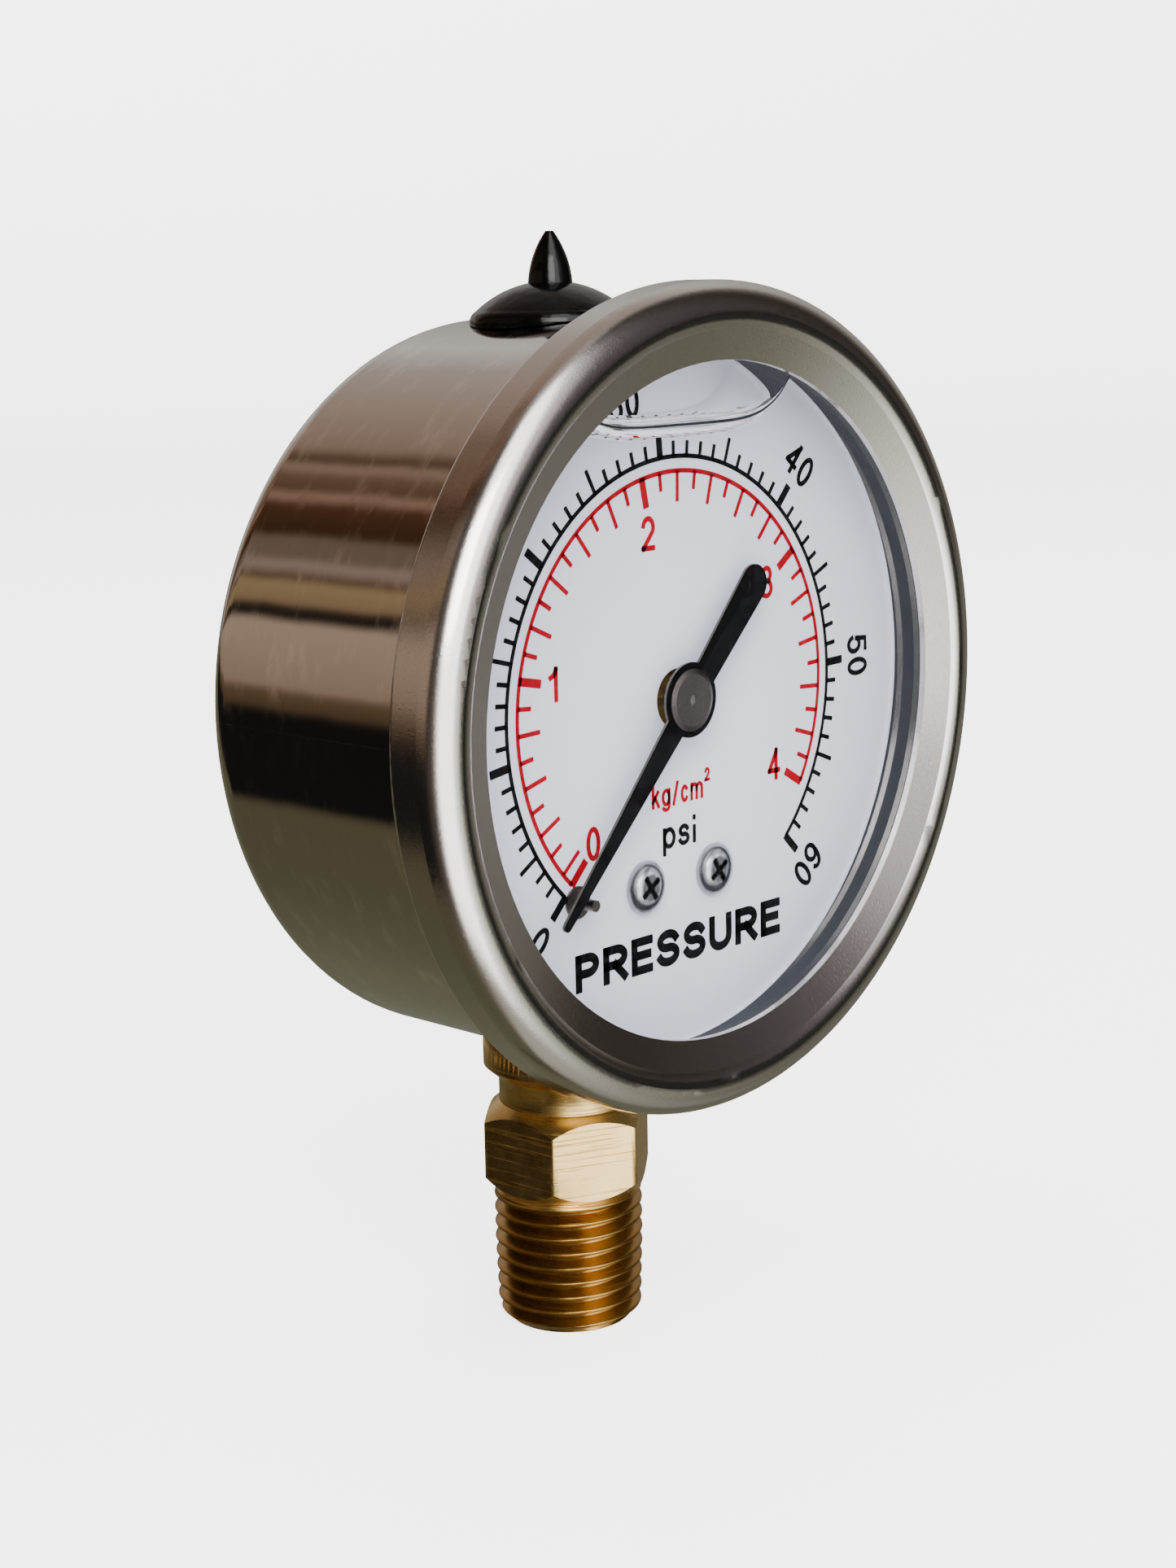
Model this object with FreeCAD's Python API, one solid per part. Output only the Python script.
"""Liquid-filled pressure gauge, bottom connection, with its complete Bourdon-tube movement.

Frame: origin at the centre of the socket's threaded end face, +Z up along the socket,
the dial faces -Y and +X is to the right of someone reading it.  Millimetres and degrees.
Each piece is its own solid, written to parts/NAME.step.
"""
import FreeCAD
import Part

import math
import os

from FreeCAD import Vector

# ---- where things are -------------------------------------------------------------------
DIAL_Z = 59.4               # height of the dial's centre above the threaded end
CREST_Y = -20.95            # the bezel's foremost plane; depths below are measured from it
DIAL_DEPTH = 11.6           # front of the dial

# ---- case, bezel, window ----------------------------------------------------------------
SHEET = 0.6                 # stainless sheet of case and bezel
CASE_R = 32.05
CASE_DEPTH = 31.6
CASE_EDGE_R = 3.0           # rounded rear edge
FLANGE_R = 33.9             # rim of the case that the bezel is rolled over
BEZEL_R = 35.2
BEZEL_OPENING_R = 28.7
BEZEL_CREST_R = 32.6
BEZEL_BEND_R = 31.3
LIP_DEPTH = 1.4             # front of the bezel's inner edge
BEND_DEPTH = 0.42
WINDOW_R = 32.6
WINDOW_THICK = 2.0
GASKET_THICK = 0.4
GASKET_IN_R = 30.35

# ---- dial -------------------------------------------------------------------------------
DIAL_R = 31.0
DIAL_THICK = 0.5
DIAL_HOLE_R = 2.6
DIAL_SCREW_X = 4.49
DIAL_SCREW_Z = -15.8        # below the dial's centre
SCREW_R = 1.25
SCREW_LENGTH = 5.0
SLOT_TURN = 12.0            # how far each screw's cross slot is turned
STOP_PIN_AT = (20.2, 230.2)  # radius and angle on the dial
STOP_PIN_LENGTH = 4.15

# ---- socket -----------------------------------------------------------------------------
THREAD_LENGTH = 12.0
THREAD_PITCH = 25.4 / 18
THREAD_SMALL_R = 6.63       # crest radius at the small end of a 1/4-18 taper thread
THREAD_TAPER = 1 / 32       # radius gained per length
THREAD_DEPTH = 0.98
STOCK_R = 6.858             # crests are never larger than the bar they are cut on
HEX_ACROSS_FLATS = 14.0
HEX_TURN = 4.0              # the hexagon stands turned by this about the socket's axis
HEX_FLAT_Z = (14.1, 19.3)   # height of the flats at the corners
HEX_END_Z = (12.6, 20.9)
NECK_R = 6.2
COLLAR_R = 7.57
COLLAR_Z = (24.4, 27.3)
SPIGOT_R = 7.27
SPIGOT_TOP = 32.2
GROOVE_R = 6.6
BLOCK_X, BLOCK_Y = 6.1, 3.9  # half width and half depth of the block inside the case
BLOCK_TOP = DIAL_Z - 13.4
TONGUE_TOP = DIAL_Z - 7.0
INLET_R = 2.75
INLET_DEPTH = 12.0
RESTRICTOR_R = 1.6
RESTRICTOR_Z = (12.6, 17.0)
CHANNEL_R = 1.2

# ---- Bourdon tube -----------------------------------------------------------------------
TUBE_R = 22.0               # radius of its middle line round the dial's axis
TUBE_THICK = 3.2
TUBE_WIDTH = 6.4
TUBE_WALL = 0.3
TUBE_MID_Y = 0.3
TUBE_START = 258.0          # end soldered into the block, then clockwise to the tip
TUBE_TIP = -20.0

# ---- movement: places are (x, z) from the dial's centre ---------------------------------
MODULE = 0.21
PINION_TEETH = 12
SECTOR_TEETH = 108          # as if the sector were a full wheel
SECTOR_HALF_TEETH = 5       # teeth each side of its middle one
SWEEP = 272.0               # pointer travel over the scale
REST_ANGLE = 227.0          # pointer against its stop pin
CENTRES = MODULE * (PINION_TEETH + SECTOR_TEETH) / 2
SECTOR_DIRECTION = -60.0    # of the sector's arbor seen from the pinion
PRESSURE_ANGLE = 20.0
PROFILE_SHIFT = 0.3         # longer pinion teeth, shorter sector teeth
BACKLASH = 0.03
FRONT_PLATE_Y = (-7.6, -6.6)
BACK_PLATE_Y = (-1.0, 0.0)
SECTOR_Y = (-3.2, -2.2)
PINION_Y = (-3.7, -1.7)
LINK_Y = (-4.0, -3.4)
TAIL_ARM = 4.204            # sector pivot to link pin
TAIL_ANGLE = -48.12         # of that arm at rest
LUG_RADIUS = 16.0           # link pin on the tube's end piece
PIN_R = 0.5
PIVOT_PLAY = 0.03           # running fit
OPEN_PIVOT_PLAY = 0.12      # looser hole where link and sector meet
PLATE = [(-8.8, 5.0), (2.6, 5.0), (11.0, -1.2), (9.0, -12.9), (-8.2, -12.9)]
PILLARS = [(-6.6, 2.6), (8.6, -2.4), (-5.9, -9.3)]
PILLAR_R = 1.1
MOVEMENT_SCREWS = [(-3.2, -10.6), (2.0, -10.6)]
ARBOR_R = 0.75
REAR_PIVOT_R = 0.45
HAIRSPRING_R = (1.65, 5.0)
HAIRSPRING_TURNS = 6
HAIRSPRING_Y = (-5.9, -5.4)
HAIRSPRING_THICK = 0.12
STUD_ANGLE = 200.0

# ---- pointer ----------------------------------------------------------------------------
POINTER_Y = (-12.45, -11.95)
POINTER_TIP = 23.5
POINTER_TAIL = 14.2
TAIL_HALF_WIDTH = 1.7
HUB_R = 3.25
BUSHING_R = 2.7
BUSHING_SHANK_R = 1.3
BUSHING_Y = (-13.0, -10.6)
ARBOR_FRONT = -12.6

# ---- filling plug -----------------------------------------------------------------------
PLUG_HOLE_R = 5.0
PLUG_STEM_R = 4.95
PLUG_CAP_R = 7.1
PLUG_DOME_Z = 35.1          # where the dome runs into the spike, above the dial's centre
SPIKE_BASE_R = 1.95
SPIKE_TIP_Z = 39.5
SEAT_GAP = 0.1

LIP_BACK = LIP_DEPTH + SHEET
WINDOW_DEPTH = LIP_BACK + 0.05
GASKET_DEPTH = WINDOW_DEPTH + WINDOW_THICK
FLANGE_DEPTH = GASKET_DEPTH + GASKET_THICK
CASE_IN_R = CASE_R - SHEET
DIAL_Y = CREST_Y + DIAL_DEPTH
DIAL_BACK_Y = DIAL_Y + DIAL_THICK
DIAL_AXIS = Vector(0, 0, DIAL_Z)
Y_DIR = Vector(0, 1, 0)
Z_DIR = Vector(0, 0, 1)


# ---- small tools ------------------------------------------------------------------------
def polar(radius, angle):
    """(x, z) from the dial's centre of a point seen from the front."""
    turn = math.radians(angle)
    return radius * math.cos(turn), radius * math.sin(turn)


SECTOR_PIVOT = polar(CENTRES, SECTOR_DIRECTION)
TIP_PIN = polar(LUG_RADIUS, TUBE_TIP)
ARM = polar(TAIL_ARM, TAIL_ANGLE)
SECTOR_PIN = (SECTOR_PIVOT[0] + ARM[0], SECTOR_PIVOT[1] + ARM[1])


def outline(steps):
    """Closed wire through Vectors; a pair of Vectors is an arc's middle and end."""
    edges = []
    start = last = steps[0]
    for step in steps[1:] + [start]:
        if isinstance(step, tuple):
            edges.append(Part.Arc(last, step[0], step[1]).toShape())
            last = step[1]
        elif (step - last).Length > 1e-6:
            edges.append(Part.makeLine(last, step))
            last = step
    return Part.Wire(edges)


def turned_about_dial(steps, angle=360):
    """Solid of revolution about the dial's axis; steps hold (radius, depth) pairs."""
    def place(step):
        if isinstance(step[0], tuple):
            return place(step[0]), place(step[1])
        return Vector(step[0], CREST_Y + step[1], DIAL_Z)
    face = Part.Face(outline([place(step) for step in steps]))
    return face.revolve(DIAL_AXIS, Y_DIR, angle)


def turned_about_socket(steps):
    """Solid of revolution about the socket's axis; steps hold (radius, height) pairs."""
    def place(step):
        if isinstance(step[0], tuple):
            return place(step[0]), place(step[1])
        return Vector(step[0], 0, step[1])
    face = Part.Face(outline([place(step) for step in steps]))
    return face.revolve(Vector(0, 0, 0), Z_DIR, 360)


def ball_shoulder(start, end):
    """The arc from start to end, (radius, height) pairs, of a ball centred on the socket's axis."""
    (r1, z1), (r2, z2) = start, end
    centre = (r1 * r1 + z1 * z1 - r2 * r2 - z2 * z2) / (2 * (z1 - z2))
    ball_r = math.hypot(r1, z1 - centre)
    middle = (math.atan2(z1 - centre, r1) + math.atan2(z2 - centre, r2)) / 2
    return (ball_r * math.cos(middle), centre + ball_r * math.sin(middle)), end


def rod(radius, span, place):
    """Cylinder along Y between the two y values of span, at place (x, z) on the dial."""
    x, z = place
    return Part.makeCylinder(radius, span[1] - span[0], Vector(x, span[0], DIAL_Z + z), Y_DIR)


def upright(radius, low, high):
    """Cylinder on the socket's axis."""
    return Part.makeCylinder(radius, high - low, Vector(0, 0, low), Z_DIR)


def slab(steps, span):
    """Plate from an outline of (x, z) steps on the dial, between the y values of span."""
    def place(step):
        if isinstance(step[0], tuple):
            return place(step[0]), place(step[1])
        return Vector(step[0], span[0], DIAL_Z + step[1])
    face = Part.Face(outline([place(step) for step in steps]))
    return face.extrude(Vector(0, span[1] - span[0], 0))


def bar(start, end, half_width, span):
    """Round-ended flat bar between two (x, z) places."""
    length = math.hypot(end[0] - start[0], end[1] - start[1])
    along = ((end[0] - start[0]) / length, (end[1] - start[1]) / length)
    side = (-along[1] * half_width, along[0] * half_width)
    corners = [
        (start[0] + side[0], start[1] + side[1]),
        ((start[0] - along[0] * half_width, start[1] - along[1] * half_width),
         (start[0] - side[0], start[1] - side[1])),
        (end[0] - side[0], end[1] - side[1]),
        ((end[0] + along[0] * half_width, end[1] + along[1] * half_width),
         (end[0] + side[0], end[1] + side[1])),
    ]
    return slab(corners, span)


def fused(first, *others):
    return first.fuse(list(others)).removeSplitter()


def slotted_head(radius, height, place, face_y):
    """Cheese head standing forward (-Y) from face_y, with a screwdriver slot."""
    head = rod(radius, (face_y - height, face_y), place)
    slot = Part.makeBox(2 * radius + 1, height * 0.45, 0.35 * radius)
    slot.translate(Vector(place[0] - radius - 0.5, face_y - height, DIAL_Z + place[1] - 0.175 * radius))
    return head.cut(slot)


# ---- case and bezel ---------------------------------------------------------------------
def case_cup():
    corner_r = CASE_R - CASE_EDGE_R
    corner_depth = CASE_DEPTH - CASE_EDGE_R
    bend = math.sqrt(0.5)
    inner_r = CASE_EDGE_R - SHEET
    shell = turned_about_dial([
        (CASE_IN_R, FLANGE_DEPTH), (FLANGE_R, FLANGE_DEPTH), (FLANGE_R, FLANGE_DEPTH + SHEET),
        (CASE_R, FLANGE_DEPTH + SHEET), (CASE_R, corner_depth),
        ((corner_r + CASE_EDGE_R * bend, corner_depth + CASE_EDGE_R * bend),
         (corner_r, CASE_DEPTH)),
        (0, CASE_DEPTH), (0, CASE_DEPTH - SHEET), (corner_r, CASE_DEPTH - SHEET),
        ((corner_r + inner_r * bend, corner_depth + inner_r * bend), (CASE_IN_R, corner_depth)),
    ])
    lip_top = SPIGOT_TOP - 1.2
    neck = upright(SPIGOT_R + PIVOT_PLAY + SHEET, DIAL_Z - CASE_R, lip_top)
    inside = rod(CASE_R - SHEET / 2, (-12, 8.3), (0, 0))
    shell = shell.fuse(neck.common(inside))
    shell = shell.cut(upright(SPIGOT_R + PIVOT_PLAY, DIAL_Z - CASE_R - 5, lip_top + 1))
    return shell.cut(upright(PLUG_HOLE_R, DIAL_Z + CASE_R - 5, DIAL_Z + CASE_R + 5)).removeSplitter()


def bezel_ring():
    roll_depth = 2.4
    roll_r = BEZEL_R - BEZEL_CREST_R
    bend = math.sqrt(0.5)
    skirt_end = FLANGE_DEPTH + SHEET
    curl = 0.55
    inner = roll_r - SHEET
    return turned_about_dial([
        (BEZEL_OPENING_R, LIP_DEPTH), (BEZEL_BEND_R, BEND_DEPTH),
        ((BEZEL_BEND_R + 0.55, 0.1), (BEZEL_CREST_R, 0)),
        ((BEZEL_CREST_R + roll_r * bend, roll_depth * (1 - bend)), (BEZEL_R, roll_depth)),
        (BEZEL_R, skirt_end),
        ((BEZEL_R - curl * (1 - bend), skirt_end + curl * bend), (BEZEL_R - curl, skirt_end + curl)),
        (CASE_R + 0.4, skirt_end + curl), (CASE_R + 0.4, skirt_end + 0.02),
        (BEZEL_R - SHEET, skirt_end + 0.02), (BEZEL_R - SHEET, roll_depth),
        ((BEZEL_CREST_R + inner * bend, SHEET + (roll_depth - SHEET) * (1 - bend)),
         (BEZEL_CREST_R, SHEET)),
        (BEZEL_BEND_R + 0.1, SHEET + BEND_DEPTH), (BEZEL_OPENING_R, LIP_BACK),
    ])


def window():
    bevel = 0.3
    back = WINDOW_DEPTH + WINDOW_THICK
    return turned_about_dial([
        (0, WINDOW_DEPTH), (WINDOW_R - bevel, WINDOW_DEPTH), (WINDOW_R, WINDOW_DEPTH + bevel),
        (WINDOW_R, back - bevel), (WINDOW_R - bevel, back), (0, back),
    ])


def window_gasket():
    skirt_end = DIAL_DEPTH - 0.7
    return turned_about_dial([
        (GASKET_IN_R, GASKET_DEPTH), (FLANGE_R, GASKET_DEPTH), (FLANGE_R, FLANGE_DEPTH),
        (CASE_IN_R, FLANGE_DEPTH), (CASE_IN_R, skirt_end), (GASKET_IN_R + 0.3, skirt_end),
        (GASKET_IN_R, skirt_end - 0.3),
    ])


# ---- dial -------------------------------------------------------------------------------
def dial():
    plate = rod(DIAL_R, (DIAL_Y, DIAL_BACK_Y), (0, 0))
    plate = plate.cut(rod(DIAL_HOLE_R, (DIAL_Y - 1, DIAL_BACK_Y + 1), (0, 0)))
    for x in (-DIAL_SCREW_X, DIAL_SCREW_X):
        plate = plate.cut(rod(SCREW_R, (DIAL_Y - 1, DIAL_BACK_Y + 1), (x, DIAL_SCREW_Z)))
    return plate.cut(rod(0.5, (DIAL_Y - 1, DIAL_BACK_Y + 1), polar(*STOP_PIN_AT)))


def dial_screws():
    """Two pan-head cross-slot screws through dial and spacers into the block."""
    head_r, head_h, rim_h = 2.33, 1.45, 0.45
    screws = []
    for x in (-DIAL_SCREW_X, DIAL_SCREW_X):
        axis = Vector(x, DIAL_Y, DIAL_Z + DIAL_SCREW_Z)
        shank = outline([axis + Vector(r, y, 0) for r, y in
                         [(0, 0), (SCREW_R, 0), (SCREW_R, SCREW_LENGTH), (0, SCREW_LENGTH)]])
        crown = outline([
            axis, axis + Vector(head_r, 0, 0), axis + Vector(head_r, -rim_h, 0),
            (axis + Vector(head_r * 0.78, -head_h * 0.8, 0), axis + Vector(head_r * 0.45, -head_h, 0)),
            axis + Vector(0, -head_h, 0)])
        screw = Part.Face(crown).revolve(axis, Y_DIR, 360)
        screw = screw.fuse(Part.Face(shank).revolve(axis, Y_DIR, 360))
        for turn in (45, 135):
            arm = Part.makeBox(2.5, 1.6, 0.55, axis + Vector(-1.25, -head_h - 0.8, -0.275))
            arm.rotate(axis, Y_DIR, turn + SLOT_TURN)
            screw = screw.cut(arm)
        screws.append(screw.removeSplitter())
    return Part.makeCompound(screws)


def dial_spacers():
    tubes = []
    for x in (-DIAL_SCREW_X, DIAL_SCREW_X):
        span = (DIAL_BACK_Y, -BLOCK_Y)
        place = (x, DIAL_SCREW_Z)
        tubes.append(rod(2.0, span, place).cut(rod(SCREW_R, span, place)))
    return Part.makeCompound(tubes)


def stop_pin():
    """Riveted pin that the pointer rests against at zero."""
    place = polar(*STOP_PIN_AT)
    pin = rod(0.5, (DIAL_Y - STOP_PIN_LENGTH, DIAL_BACK_Y + 0.3), place)
    collar = rod(1.4, (DIAL_Y - 0.45, DIAL_Y), place)
    return fused(pin, collar, rod(0.9, (DIAL_BACK_Y, DIAL_BACK_Y + 0.3), place))


# ---- socket -----------------------------------------------------------------------------
def thread_profile():
    """Ridges of the taper thread, from the end face up, as (radius, height) pairs."""
    points = [(INLET_R, 0), (THREAD_SMALL_R - 0.3, 0)]
    ridges = int(THREAD_LENGTH / THREAD_PITCH)
    flat = THREAD_PITCH * 0.06
    for ridge in range(ridges):
        crest = THREAD_PITCH * (ridge + 0.5)
        crest_r = min(THREAD_SMALL_R + crest * THREAD_TAPER, STOCK_R)
        root_r = crest_r - THREAD_DEPTH
        points += [(crest_r, crest - flat), (crest_r, crest + flat),
                   (root_r, crest + THREAD_PITCH / 2 - flat), (root_r, crest + THREAD_PITCH / 2 + flat)]
    return points


def socket():
    corner_r = HEX_ACROSS_FLATS / 2 / math.cos(math.radians(30))
    low, high = HEX_FLAT_Z
    foot, top = (STOCK_R - 0.3, HEX_END_Z[0]), (NECK_R, HEX_END_Z[1])
    turned = turned_about_socket(thread_profile() + [
        foot, ball_shoulder(foot, (corner_r, low)),
        (corner_r, high), ball_shoulder((corner_r, high), top),
        (NECK_R, 23.2), (COLLAR_R, COLLAR_Z[0]), (COLLAR_R, COLLAR_Z[1]),
        (SPIGOT_R, COLLAR_Z[1]), (SPIGOT_R, 28.6), (GROOVE_R, 28.6), (GROOVE_R, 29.9),
        (SPIGOT_R, 29.9), (SPIGOT_R, 31.05), (GROOVE_R, 31.05), (GROOVE_R, 31.95),
        (SPIGOT_R, 31.95), (SPIGOT_R, SPIGOT_TOP), (RESTRICTOR_R, SPIGOT_TOP),
        (RESTRICTOR_R, INLET_DEPTH), (INLET_R, INLET_DEPTH),
    ])
    corners = [math.radians(HEX_TURN + 30 + 60 * k) for k in range(6)]
    prism = Part.Face(outline([
        Vector(corner_r * math.cos(a), corner_r * math.sin(a), HEX_END_Z[0])
        for a in corners])).extrude(Vector(0, 0, HEX_END_Z[1] - HEX_END_Z[0]))
    middle = turned.common(prism)
    shell = turned.cut(upright(2 * corner_r, *HEX_END_Z))
    block = Part.makeBox(2 * BLOCK_X, 2 * BLOCK_Y, BLOCK_TOP - SPIGOT_TOP,
                         Vector(-BLOCK_X, -BLOCK_Y, SPIGOT_TOP))
    tongue = Part.makeBox(2 * BLOCK_X, BLOCK_Y, TONGUE_TOP - BLOCK_TOP,
                          Vector(-BLOCK_X, 0, BLOCK_TOP))
    filling = upright(RESTRICTOR_R, 20, SPIGOT_TOP)
    body = fused(shell, middle, block, tongue, filling)
    tube_y, tube_z = TUBE_MID_Y, DIAL_Z + polar(TUBE_R, TUBE_START)[1]
    body = body.cut(upright(CHANNEL_R, 19.9, tube_z))
    start = Vector(0, 0, tube_z - 0.6)
    end = Vector(polar(TUBE_R, TUBE_START)[0] - 0.3, tube_y, tube_z)
    body = body.cut(Part.makeCylinder(1.0, (end - start).Length, start, end - start))
    body = body.cut(tube_blank(0))
    for x in (-DIAL_SCREW_X, DIAL_SCREW_X):
        body = body.cut(rod(SCREW_R, (-BLOCK_Y - 1, DIAL_Y + 6.0), (x, DIAL_SCREW_Z)))
    for place in MOVEMENT_SCREWS:
        body = body.cut(rod(0.8, (-1, 2.6), place))
    return body.removeSplitter()


def socket_oring():
    cord = Part.makeTorus(6.95, 0.34, Vector(0, 0, 29.25), Z_DIR)
    return cord


def socket_retaining_ring():
    """Spring ring in the spigot's groove, bearing on the rim of the case's neck."""
    ring = upright(8.5, 31.1, 31.9).cut(upright(GROOVE_R + 0.02, 31.0, 32.0))
    gap = Part.makeBox(5.0, 12, 2, Vector(-2.5, 0, 30.5))
    return ring.cut(gap).common(rod(CASE_IN_R, (-20, 7.4), (0, 0)))


def restrictor_screw():
    low, high = RESTRICTOR_Z
    plug = upright(RESTRICTOR_R, low, high).cut(upright(0.25, low - 1, high + 1))
    slot = Part.makeBox(4, 0.5, 0.8, Vector(-2, -0.25, low))
    return plug.cut(slot)


# ---- Bourdon tube -----------------------------------------------------------------------
def tube_blank(inset):
    """Flattened tube section swept round the dial's axis, made smaller all round by inset."""
    half_t, half_w = TUBE_THICK / 2 - inset, TUBE_WIDTH / 2 - inset
    flat = half_w - half_t
    middle = Vector(TUBE_R, TUBE_MID_Y, DIAL_Z)

    def at(across, along):
        return middle + Vector(across, along, 0)
    section = outline([
        at(half_t, -flat), at(half_t, flat), (at(0, half_w), at(-half_t, flat)),
        at(-half_t, -flat), (at(0, -half_w), at(half_t, -flat))])
    solid = Part.Face(section).revolve(DIAL_AXIS, Y_DIR, TUBE_TIP - TUBE_START)
    solid.rotate(DIAL_AXIS, Y_DIR, -TUBE_TIP)
    return solid


def bourdon_tube():
    return tube_blank(0).cut(tube_blank(TUBE_WALL))


def tube_tip():
    """End piece closing the tube, with the lug that carries the link."""
    half_w = TUBE_WIDTH / 2 + 0.25
    span = (TUBE_MID_Y - half_w, TUBE_MID_Y + half_w)
    inner, outer = TUBE_R - TUBE_THICK / 2 - 0.3, TUBE_R + TUBE_THICK / 2 + 0.3
    corners = [polar(inner, TUBE_TIP - 0.05), polar(outer, TUBE_TIP - 0.05),
               polar(outer - 0.3, TUBE_TIP - 7), polar(inner + 0.3, TUBE_TIP - 7)]
    cap = slab(corners, span)
    lug = bar(TIP_PIN, polar(TUBE_R - 0.4, TUBE_TIP - 5.5), 1.1, SECTOR_Y)
    return fused(cap, lug).cut(rod(PIN_R, (-6, 0), TIP_PIN))


def link_pin(place):
    """Shouldered pin riveted in a lug, with a head that keeps the link on."""
    return fused(rod(PIN_R, (LINK_Y[0] - 0.1, SECTOR_Y[1]), place),
                 rod(0.85, (LINK_Y[0] - 0.5, LINK_Y[0] - 0.1), place))


def link():
    strap = bar(TIP_PIN, SECTOR_PIN, 1.0, LINK_Y)
    strap = strap.cut(rod(PIN_R + PIVOT_PLAY, (-6, 0), TIP_PIN))
    return strap.cut(rod(PIN_R + OPEN_PIVOT_PLAY, (-6, 0), SECTOR_PIN))


# ---- movement ---------------------------------------------------------------------------
def movement_plate(span, pinion_hole, sector_hole):
    plate = slab(PLATE, span)
    corners = [edge for edge in plate.Edges
               if edge.Vertexes[0].Point.distanceToPoint(edge.Vertexes[1].Point) < 1.001]
    plate = plate.makeFillet(1.8, corners)
    wide = (span[0] - 1, span[1] + 1)
    plate = plate.cut(rod(pinion_hole, wide, (0, 0)))
    return plate.cut(rod(sector_hole, wide, SECTOR_PIVOT))


def movement_front_plate():
    plate = movement_plate(FRONT_PLATE_Y, ARBOR_R + PIVOT_PLAY, REAR_PIVOT_R + PIVOT_PLAY)
    for place in MOVEMENT_SCREWS:
        plate = plate.cut(rod(1.75, (-9, -6), place))
    for place in PILLARS:
        plate = plate.cut(rod(0.7, (-9, -6), place))
    return plate.cut(rod(0.4, (-9, -6), polar(HAIRSPRING_R[1] + 0.4, STUD_ANGLE)))


def movement_back_plate():
    plate = movement_plate(BACK_PLATE_Y, REAR_PIVOT_R + PIVOT_PLAY, REAR_PIVOT_R + PIVOT_PLAY)
    for place in MOVEMENT_SCREWS:
        plate = plate.cut(rod(0.8, (-2, 1), place))
    for place in PILLARS:
        plate = plate.cut(rod(0.6, (-2, 1), place))
    return plate


def movement_pillars():
    pillars = []
    for place in PILLARS:
        post = rod(PILLAR_R, (FRONT_PLATE_Y[1], BACK_PLATE_Y[0]), place)
        post = post.fuse(rod(0.6, BACK_PLATE_Y, place))
        pillars.append(post.cut(rod(0.7, (FRONT_PLATE_Y[1], FRONT_PLATE_Y[1] + 2.2), place)))
    return Part.makeCompound(pillars)


def pillar_screws():
    screws = []
    for place in PILLARS:
        shank = rod(0.7, (FRONT_PLATE_Y[0], FRONT_PLATE_Y[1] + 2.0), place)
        screws.append(shank.fuse(slotted_head(1.3, 0.8, place, FRONT_PLATE_Y[0])))
    return Part.makeCompound(screws)


def movement_screws():
    screws = []
    for place in MOVEMENT_SCREWS:
        shank = rod(0.8, (BACK_PLATE_Y[0], 2.5), place)
        screws.append(shank.fuse(slotted_head(1.5, 0.9, place, BACK_PLATE_Y[0])))
    return Part.makeCompound(screws)


def tooth_flank(teeth, shift, tip_r, steps):
    """(radius, half angle) pairs up one side of an involute tooth, root side first."""
    pitch_r = MODULE * teeth / 2
    base_r = pitch_r * math.cos(math.radians(PRESSURE_ANGLE))

    def involute(radius):
        lean = math.acos(min(1, base_r / radius))
        return math.tan(lean) - lean
    width = math.pi * MODULE / 2 + 2 * shift * MODULE * math.tan(math.radians(PRESSURE_ANGLE))
    half = (width - BACKLASH) / 2 / pitch_r + involute(pitch_r)
    low = max(base_r, pitch_r - (1.25 - shift) * MODULE)
    radii = [low + (tip_r - low) * k / steps for k in range(steps + 1)]
    return [(radius, half - involute(radius)) for radius in radii]


def toothed_arc(teeth, shift, count, middle_angle):
    """(x, z) outline points of count teeth centred on middle_angle, clockwise last."""
    pitch_r = MODULE * teeth / 2
    tip_r = pitch_r + (1 + shift) * MODULE
    root_r = pitch_r - (1.25 - shift) * MODULE
    flank = tooth_flank(teeth, shift, tip_r, 4)
    pitch = 360 / teeth
    points = []
    for tooth in range(count):
        centre = middle_angle + (tooth - (count - 1) / 2) * pitch
        foot = math.degrees(flank[0][1])
        points.append(polar(root_r, centre - foot))
        points += [polar(r, centre - math.degrees(a)) for r, a in flank]
        points += [polar(r, centre + math.degrees(a)) for r, a in reversed(flank)]
        points.append(polar(root_r, centre + foot))
    return points


def without_repeats(points):
    kept = [points[0]]
    for point in points[1:]:
        if math.hypot(point[0] - kept[-1][0], point[1] - kept[-1][1]) > 1e-4:
            kept.append(point)
    return kept


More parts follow.
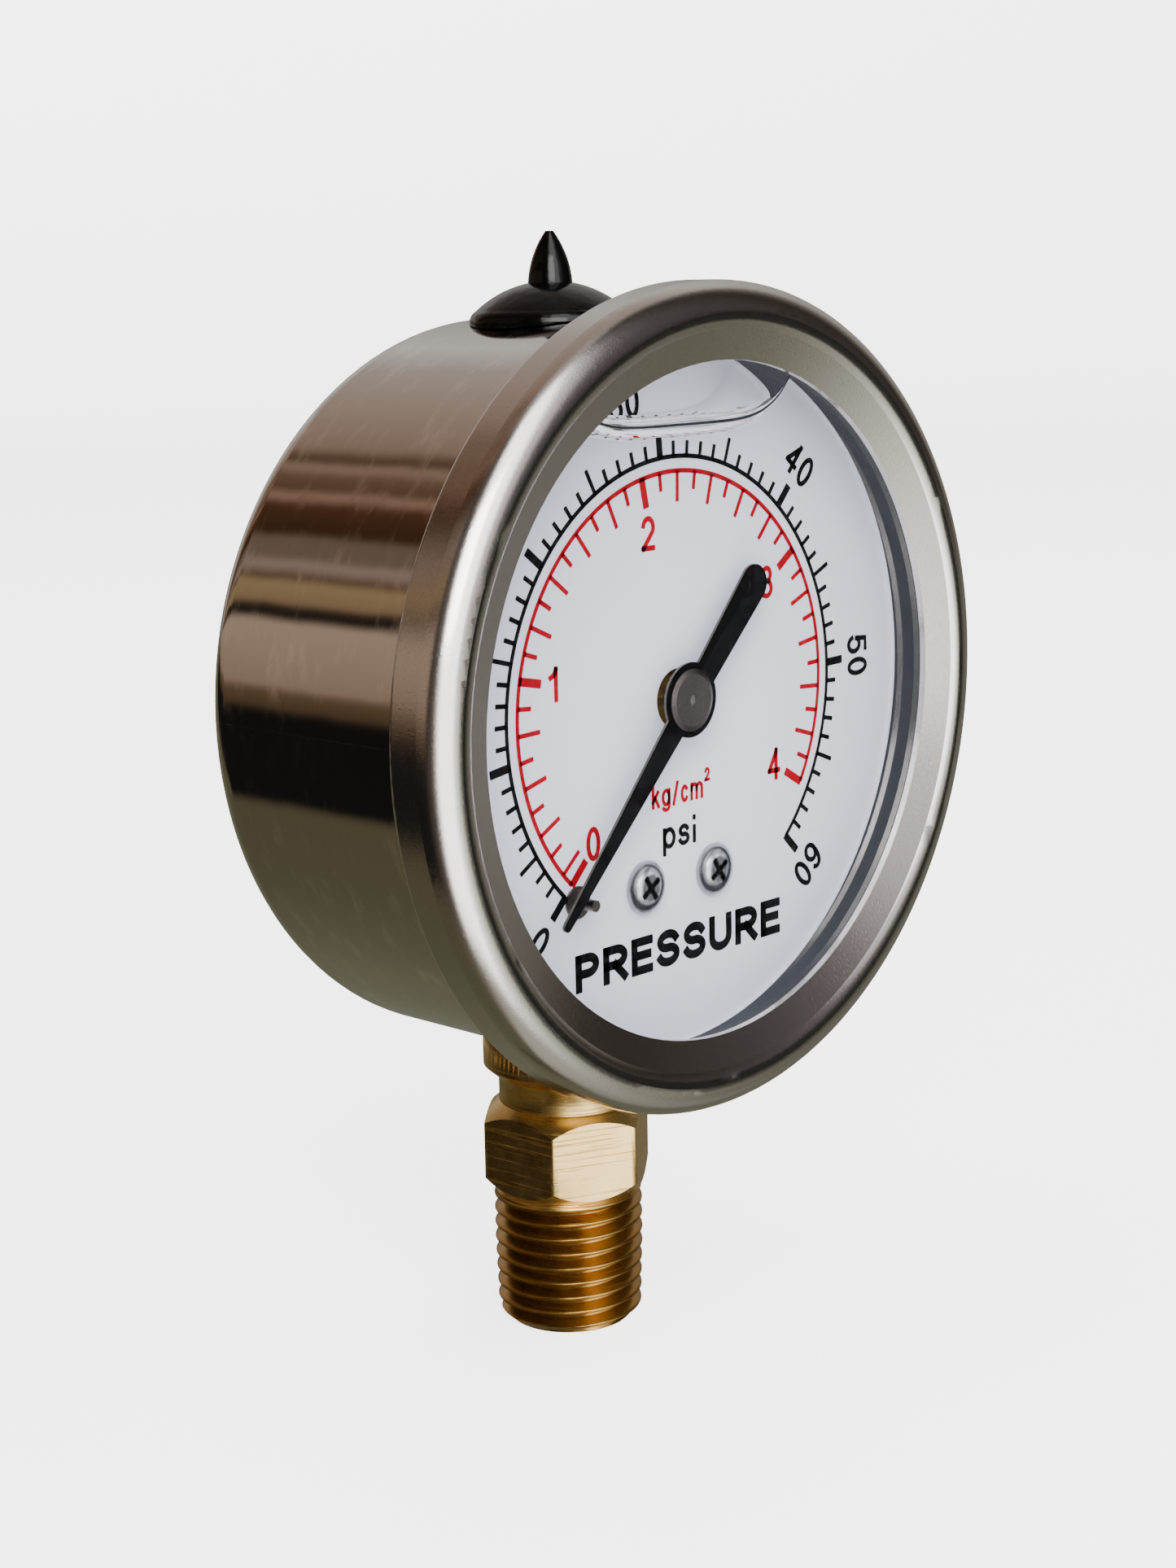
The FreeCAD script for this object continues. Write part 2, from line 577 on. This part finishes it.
def sector_gear():
    """Toothed sector with its tail, drawn at rest: half its swing short of the middle."""
    half_swing = SWEEP * PINION_TEETH / SECTOR_TEETH / 2
    pitch = 360 / SECTOR_TEETH
    # a gap has to face the pinion's tooth, so the middle tooth moves to the nearest place
    middle = SECTOR_DIRECTION + 180 - pitch * (round(half_swing / pitch - 0.5) + 0.5)
    count = 2 * SECTOR_HALF_TEETH + 1
    rim = toothed_arc(SECTOR_TEETH, -PROFILE_SHIFT, count, middle)
    spoke_half = math.degrees(1.5 / (MODULE * SECTOR_TEETH / 2)) + 3
    points = [polar(1.8, middle - 75)] + rim + [polar(1.8, middle + 75)]
    ox, oz = SECTOR_PIVOT
    web = slab(without_repeats([(x + ox, z + oz) for x, z in points]), SECTOR_Y)
    for side in (-1, 1):
        lightening = bar(*[(ox + px, oz + pz) for px, pz in
                           (polar(4.6, middle + side * spoke_half * 0.75),
                            polar(8.6, middle + side * spoke_half * 0.75))], 0.75, (-4, -1))
        web = web.cut(lightening)
    tail = bar(SECTOR_PIVOT, SECTOR_PIN, 1.1, SECTOR_Y)
    hub = rod(1.9, SECTOR_Y, SECTOR_PIVOT)
    gear = fused(web, tail, hub)
    gear = gear.cut(rod(ARBOR_R, (-4, -1), SECTOR_PIVOT))
    return gear.cut(rod(PIN_R, (-4, -1), SECTOR_PIN))


def sector_arbor():
    body = rod(ARBOR_R, (FRONT_PLATE_Y[1] + 0.1, BACK_PLATE_Y[0] - 0.1), SECTOR_PIVOT)
    pivots = rod(REAR_PIVOT_R, (FRONT_PLATE_Y[0] + 0.1, BACK_PLATE_Y[1] - 0.1), SECTOR_PIVOT)
    boss = rod(1.3, (SECTOR_Y[0] - 0.8, SECTOR_Y[0]), SECTOR_PIVOT)
    return fused(body, pivots, boss)


def pinion_arbor():
    tooth_at = SECTOR_DIRECTION
    points = toothed_arc(PINION_TEETH, PROFILE_SHIFT, PINION_TEETH, tooth_at + 15)
    teeth = slab(without_repeats(points), PINION_Y)
    shaft = rod(ARBOR_R, (ARBOR_FRONT, PINION_Y[1]), (0, 0))
    rear = rod(REAR_PIVOT_R, (PINION_Y[1], BACK_PLATE_Y[1] - 0.1), (0, 0))
    shoulder = rod(0.95, (FRONT_PLATE_Y[1] + 0.1, -6.2), (0, 0))
    return fused(teeth, shaft, rear, shoulder)


def hairspring_collet():
    collet = rod(HAIRSPRING_R[0] - HAIRSPRING_THICK, (-6.2, -5.1), (0, 0))
    return collet.cut(rod(ARBOR_R, (-7, -4), (0, 0)))


def hairspring():
    """Flat spiral from the collet out to its stud."""
    steps_per_turn = 12
    steps = HAIRSPRING_TURNS * steps_per_turn
    inner_r, outer_r = HAIRSPRING_R

    def edge(offset):
        curve = Part.BSplineCurve()
        places = []
        for k in range(steps + 1):
            radius = inner_r + (outer_r - inner_r) * k / steps + offset
            x, z = polar(radius, STUD_ANGLE - 360 * (steps - k) / steps_per_turn)
            places.append(Vector(x, HAIRSPRING_Y[0], DIAL_Z + z))
        curve.interpolate(places)
        return curve.toShape()
    sides = [edge(-HAIRSPRING_THICK / 2), edge(HAIRSPRING_THICK / 2)]
    inner_end = Part.makeLine(*[side.valueAt(side.FirstParameter) for side in sides])
    outer_end = Part.makeLine(*[side.valueAt(side.LastParameter) for side in sides])
    face = Part.Face(Part.Wire([sides[0], outer_end, sides[1], inner_end]))
    return face.extrude(Vector(0, HAIRSPRING_Y[1] - HAIRSPRING_Y[0], 0))


def hairspring_stud():
    place = polar(HAIRSPRING_R[1] + 0.4, STUD_ANGLE)
    post = rod(0.33, (FRONT_PLATE_Y[1], HAIRSPRING_Y[1] + 0.2), place)
    return fused(post, rod(0.4, FRONT_PLATE_Y, place))


# ---- pointer ----------------------------------------------------------------------------
def pointer():
    """Tapered blade with a broad round-ended tail, drawn upright and turned to rest."""
    blade = slab([(-1.2, 2.6), (-0.42, POINTER_TIP - 0.4), ((0, POINTER_TIP), (0.42, POINTER_TIP - 0.4)),
                  (1.2, 2.6)], POINTER_Y)
    tail_end = -(POINTER_TAIL - TAIL_HALF_WIDTH)
    tail = slab([(1.35, -2.6), (-1.35, -2.6), (-TAIL_HALF_WIDTH, tail_end),
                 ((0, -POINTER_TAIL), (TAIL_HALF_WIDTH, tail_end))], POINTER_Y)
    whole = fused(rod(HUB_R, POINTER_Y, (0, 0)), blade, tail)
    whole = whole.cut(rod(BUSHING_SHANK_R, (-14, -10), (0, 0)))
    whole.rotate(DIAL_AXIS, Y_DIR, 90 - REST_ANGLE)
    return whole


def pointer_bushing():
    """Hub pressed on the arbor; its domed face carries the pointer."""
    front, back = BUSHING_Y
    face_depth = front - CREST_Y
    seat_depth = POINTER_Y[0] - CREST_Y
    back_depth = back - CREST_Y
    arbor_depth = ARBOR_FRONT - CREST_Y
    return turned_about_dial([
        (0.46, face_depth), (BUSHING_R - 0.45, face_depth), (BUSHING_R, face_depth + 0.35),
        (BUSHING_R, seat_depth), (BUSHING_SHANK_R, seat_depth), (BUSHING_SHANK_R, back_depth),
        (ARBOR_R, back_depth), (ARBOR_R, arbor_depth), (0.46, arbor_depth),
    ])


# ---- filling plug -----------------------------------------------------------------------
def fill_plug():
    """Rubber plug with a domed cap and a vent spike; its cap is saddled to the case."""
    def up(height):
        return DIAL_Z + height

    cap = Part.Face(outline([
        Vector(0, 0, up(30.8)), Vector(PLUG_CAP_R, 0, up(30.8)), Vector(PLUG_CAP_R, 0, up(31.9)),
        (Vector(PLUG_CAP_R - 0.15, 0, up(32.35)), Vector(PLUG_CAP_R - 0.6, 0, up(32.8))),
        (Vector(4.6, 0, up(34.15)), Vector(SPIKE_BASE_R, 0, up(PLUG_DOME_Z))),
        (Vector(1.5, 0, up(37.3)), Vector(0.35, 0, up(SPIKE_TIP_Z))), Vector(0, 0, up(SPIKE_TIP_Z)),
    ])).revolve(Vector(0, 0, 0), Z_DIR, 360)
    cap = cap.cut(rod(CASE_R + SEAT_GAP, (-15, 15), (0, 0)))
    stem = Part.Face(outline([
        Vector(0, 0, up(27.6)), Vector(3.6, 0, up(27.6)), Vector(PLUG_STEM_R, 0, up(28.9)),
        Vector(PLUG_STEM_R, 0, up(32.5)), Vector(0, 0, up(32.5)),
    ])).revolve(Vector(0, 0, 0), Z_DIR, 360)
    return fused(cap, stem)


SHAPES = {
    "case_cup": case_cup, "bezel_ring": bezel_ring, "window": window,
    "window_gasket": window_gasket, "dial": dial, "dial_screws": dial_screws,
    "dial_spacers": dial_spacers, "stop_pin": stop_pin, "socket": socket,
    "socket_oring": socket_oring, "socket_retaining_ring": socket_retaining_ring,
    "restrictor_screw": restrictor_screw, "bourdon_tube": bourdon_tube, "tube_tip": tube_tip,
    "tip_pin": lambda: link_pin(TIP_PIN), "link": link, "sector_pin": lambda: link_pin(SECTOR_PIN),
    "movement_front_plate": movement_front_plate, "movement_back_plate": movement_back_plate,
    "movement_pillars": movement_pillars, "pillar_screws": pillar_screws,
    "movement_screws": movement_screws, "sector_gear": sector_gear,
    "sector_arbor": sector_arbor, "pinion_arbor": pinion_arbor, "hairspring": hairspring,
    "hairspring_collet": hairspring_collet, "hairspring_stud": hairspring_stud,
    "pointer": pointer, "pointer_bushing": pointer_bushing, "fill_plug": fill_plug,
}


def main():
    os.makedirs("parts", exist_ok=True)
    for name, make in SHAPES.items():
        shape = make()
        if not shape.isValid():
            raise ValueError(name + " is not a valid solid")
        shape.exportStep("parts/" + name + ".step")
        print(name, len(shape.Solids), "solid(s)", round(shape.Volume, 2), "mm3")


main()
